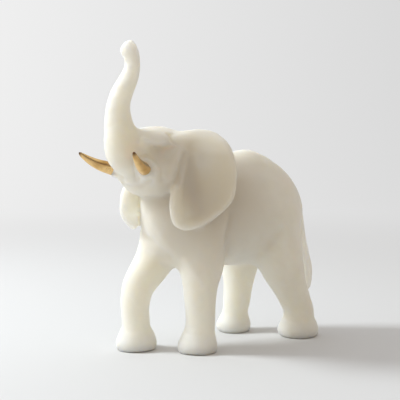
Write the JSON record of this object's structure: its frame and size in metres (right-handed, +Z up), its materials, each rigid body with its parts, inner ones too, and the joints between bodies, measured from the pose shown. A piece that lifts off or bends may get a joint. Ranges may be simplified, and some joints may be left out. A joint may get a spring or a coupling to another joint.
{
  "type": "elephant sculpture",
  "caption": "Solid white quartz elephant walking with its trunk raised high and ears spread, with gold tusks set in its cheeks.",
  "frame": {"origin": "centre of the footprint of the whole sculpture, on the plane of its four soles", "axes": "+Z up, the elephant walks towards -Y, its left side is +X"},
  "size_m": [0.1092, 0.2222, 0.253],
  "materials": {
    "quartz": "satin, faintly translucent, very fine grain",
    "gold": "polished gold finish"
  },
  "bodies": {
    "root": {"elephant_body": "quartz", "left_tusk": "gold", "right_tusk": "gold"}
  },
  "joints": []
}
